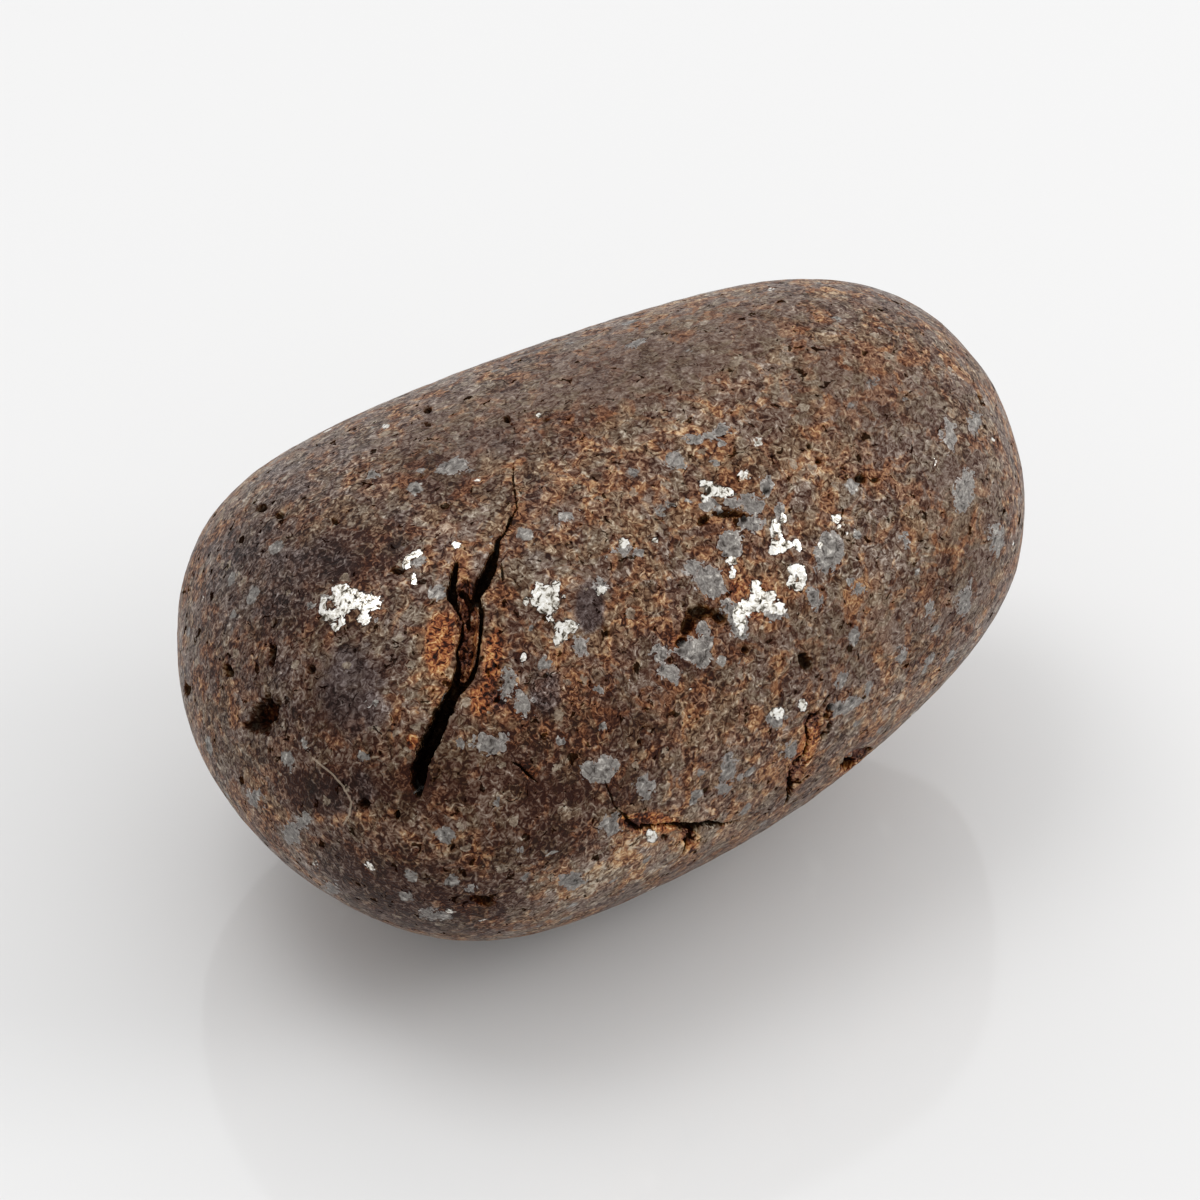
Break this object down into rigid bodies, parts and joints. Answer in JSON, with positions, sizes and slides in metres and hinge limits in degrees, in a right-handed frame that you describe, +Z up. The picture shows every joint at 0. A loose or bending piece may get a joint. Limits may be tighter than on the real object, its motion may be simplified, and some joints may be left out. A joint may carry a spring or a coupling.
{
  "type": "tumbled meteorite",
  "caption": "Egg-shaped tumbled stony meteorite, ground smooth all over, with open cracks, plucked pits and a small worn flat that it rests on.",
  "frame": {"origin": "middle of the stone's box, on the surface that it rests on", "axes": "+X along the stone's long axis towards its narrower, raised end, +Z up, -Y towards the pictured side"},
  "size_m": [0.028, 0.0184, 0.0166],
  "materials": {
    "meteorite_stone": "tumbled to a satin polish, brown and rust-speckled with grey and bright metal grains"
  },
  "bodies": {
    "root": {"meteorite": "meteorite_stone"}
  },
  "joints": []
}
